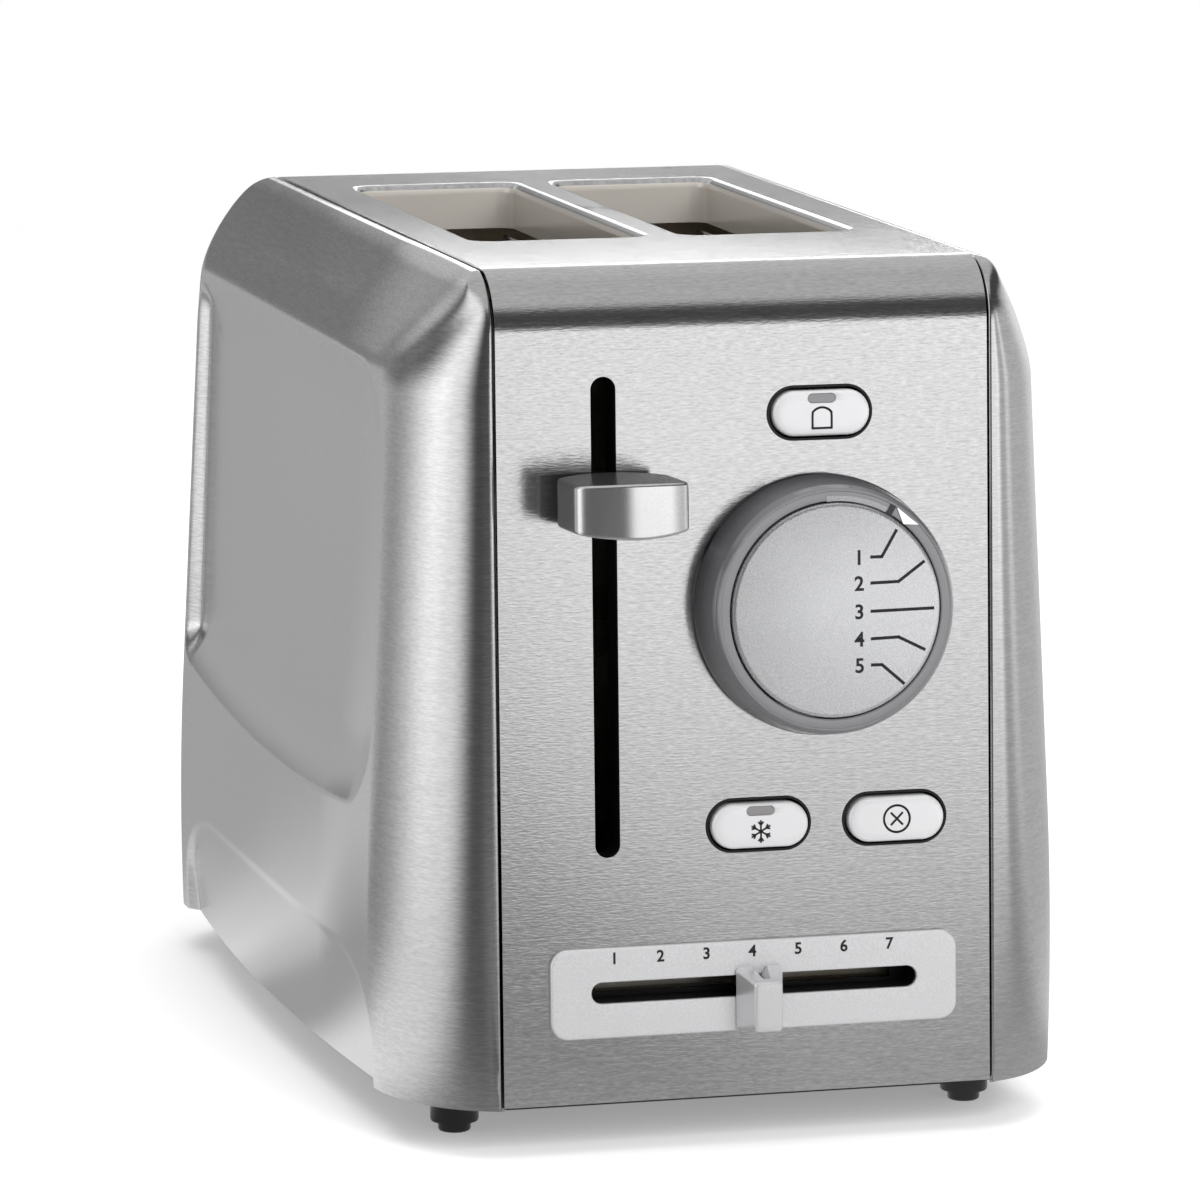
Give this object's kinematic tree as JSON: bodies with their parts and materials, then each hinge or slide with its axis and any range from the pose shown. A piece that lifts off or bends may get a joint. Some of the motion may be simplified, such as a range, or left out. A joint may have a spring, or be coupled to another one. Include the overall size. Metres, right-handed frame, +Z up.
{
  "type": "pop up toaster",
  "caption": "Stainless steel pop up toaster with long side panels, lever, selector dial, push keys and browning slider on its narrow front.",
  "frame": {"origin": "on the table, under the middle of the whole outline", "axes": "+X to the right seen from the front, +Y from the front to the rear, +Z up; the front with the controls faces -Y"},
  "size_m": [0.1608, 0.295, 0.196],
  "materials": {
    "stainless": "brushed",
    "base_plastic": "satin",
    "foot_rubber": "smooth",
    "zinc_plate": "satin",
    "mica": "satin",
    "ribbon": "satin",
    "wire": "polished",
    "spring_steel": "polished",
    "silver_plastic": "satin",
    "dial_grey": "gloss",
    "dial_silver": "fine grain",
    "pointer_white": "gloss",
    "dark_plastic": "satin",
    "lens_grey": "gloss",
    "lamp": "gloss",
    "board_green": "satin",
    "copper": "polished",
    "iron": "satin",
    "screw_steel": "polished"
  },
  "bodies": {
    "housing": {"wrap_cover": "stainless", "left_side_panel": "stainless", "right_side_panel": "stainless", "base_pan": "base_plastic", "foot_front_left": "foot_rubber", "foot_front_right": "foot_rubber", "foot_rear_left": "foot_rubber", "foot_rear_right": "foot_rubber", "cord_gland": "dark_plastic", "base_screws": "screw_steel", "front_end_plate": "zinc_plate", "rear_end_plate": "zinc_plate", "left_heat_shield": "zinc_plate", "right_heat_shield": "zinc_plate", "heater_card_left": "mica", "heater_card_centre": "mica", "heater_card_right": "mica", "heating_ribbon_left": "ribbon", "heating_ribbon_centre": "ribbon", "heating_ribbon_right": "ribbon", "guide_rods": "wire", "lift_spring": "spring_steel", "magnet_core": "iron", "magnet_coil": "copper", "power_switch": "dark_plastic", "control_carrier": "dark_plastic", "control_board": "board_green", "board_components": "dark_plastic", "key_switches": "dark_plastic", "indicator_lamps": "lamp", "board_screws": "screw_steel", "lever_slot_liner": "dark_plastic", "dial_face": "dial_silver", "dial_encoder": "dark_plastic", "slider_plate": "silver_plastic", "slider_channel": "dark_plastic", "slide_potentiometer": "zinc_plate"},
    "bread_carriage": {"carriage_bracket": "zinc_plate", "left_bread_rack": "zinc_plate", "right_bread_rack": "zinc_plate", "lever_knob": "silver_plastic", "keeper_plate": "iron"},
    "left_outer_guide": {"guide_left_outer": "wire"},
    "left_inner_guide": {"guide_left_inner": "wire"},
    "right_inner_guide": {"guide_right_inner": "wire"},
    "right_outer_guide": {"guide_right_outer": "wire"},
    "selector_ring": {"dial_ring": "dial_grey", "dial_pointer": "pointer_white"},
    "single_button": {"single_key": "silver_plastic", "single_lens": "lens_grey"},
    "defrost_button": {"defrost_key": "silver_plastic", "defrost_lens": "lens_grey"},
    "cancel_button": {"cancel_key": "silver_plastic"},
    "browning_knob": {"slider_knob": "silver_plastic"},
    "tray": {"crumb_tray": "zinc_plate"}
  },
  "joints": [
    {"name": "carriage_lift", "type": "slide", "parent": "housing", "child": "bread_carriage", "axis": [0, 0.0419, 0.9991], "range_m": [-0.075, 0.02], "stiffness_N_per_m": 120, "springref_m": 0.00663, "deforming": ["lift_spring"]},
    {"name": "left_outer_guide_swing", "type": "hinge", "parent": "housing", "child": "left_outer_guide", "pos_m": [-0.04225, 0.00827, 0.031], "axis": [0, 1, 0], "range_deg": [-1, 3.6]},
    {"name": "left_inner_guide_swing", "type": "hinge", "parent": "housing", "child": "left_inner_guide", "pos_m": [-0.00675, 0.00827, 0.031], "axis": [0, 1, 0], "range_deg": [-3.6, 1]},
    {"name": "right_inner_guide_swing", "type": "hinge", "parent": "housing", "child": "right_inner_guide", "pos_m": [0.00675, 0.00827, 0.031], "axis": [0, 1, 0], "range_deg": [-1, 3.6]},
    {"name": "right_outer_guide_swing", "type": "hinge", "parent": "housing", "child": "right_outer_guide", "pos_m": [0.04225, 0.00827, 0.031], "axis": [0, 1, 0], "range_deg": [-3.6, 1]},
    {"name": "selector_turn", "type": "hinge", "parent": "housing", "child": "selector_ring", "pos_m": [0.017, -0.12615, 0.12105], "axis": [0, -0.9991, 0.0419], "range_deg": [-101, 0]},
    {"name": "single_press", "type": "slide", "parent": "housing", "child": "single_button", "axis": [0, 0.9991, -0.0419], "range_m": [0, 0.0012], "stiffness_N_per_m": 800},
    {"name": "defrost_press", "type": "slide", "parent": "housing", "child": "defrost_button", "axis": [0, 0.9991, -0.0419], "range_m": [0, 0.0012], "stiffness_N_per_m": 800},
    {"name": "cancel_press", "type": "slide", "parent": "housing", "child": "cancel_button", "axis": [0, 0.9991, -0.0419], "range_m": [0, 0.0012], "stiffness_N_per_m": 800},
    {"name": "browning_slide", "type": "slide", "parent": "housing", "child": "browning_knob", "axis": [1, 0, 0], "range_m": [-0.0318, 0.0318]},
    {"name": "tray_slide", "type": "slide", "parent": "housing", "child": "tray", "axis": [0, 1, 0], "range_m": [0, 0.15]}
  ],
  "couplings": [
    {"joint": "left_outer_guide_swing", "follows": "carriage_lift", "rad_per_m": -0.79},
    {"joint": "left_inner_guide_swing", "follows": "carriage_lift", "rad_per_m": 0.79},
    {"joint": "right_inner_guide_swing", "follows": "carriage_lift", "rad_per_m": -0.79},
    {"joint": "right_outer_guide_swing", "follows": "carriage_lift", "rad_per_m": 0.79}
  ]
}
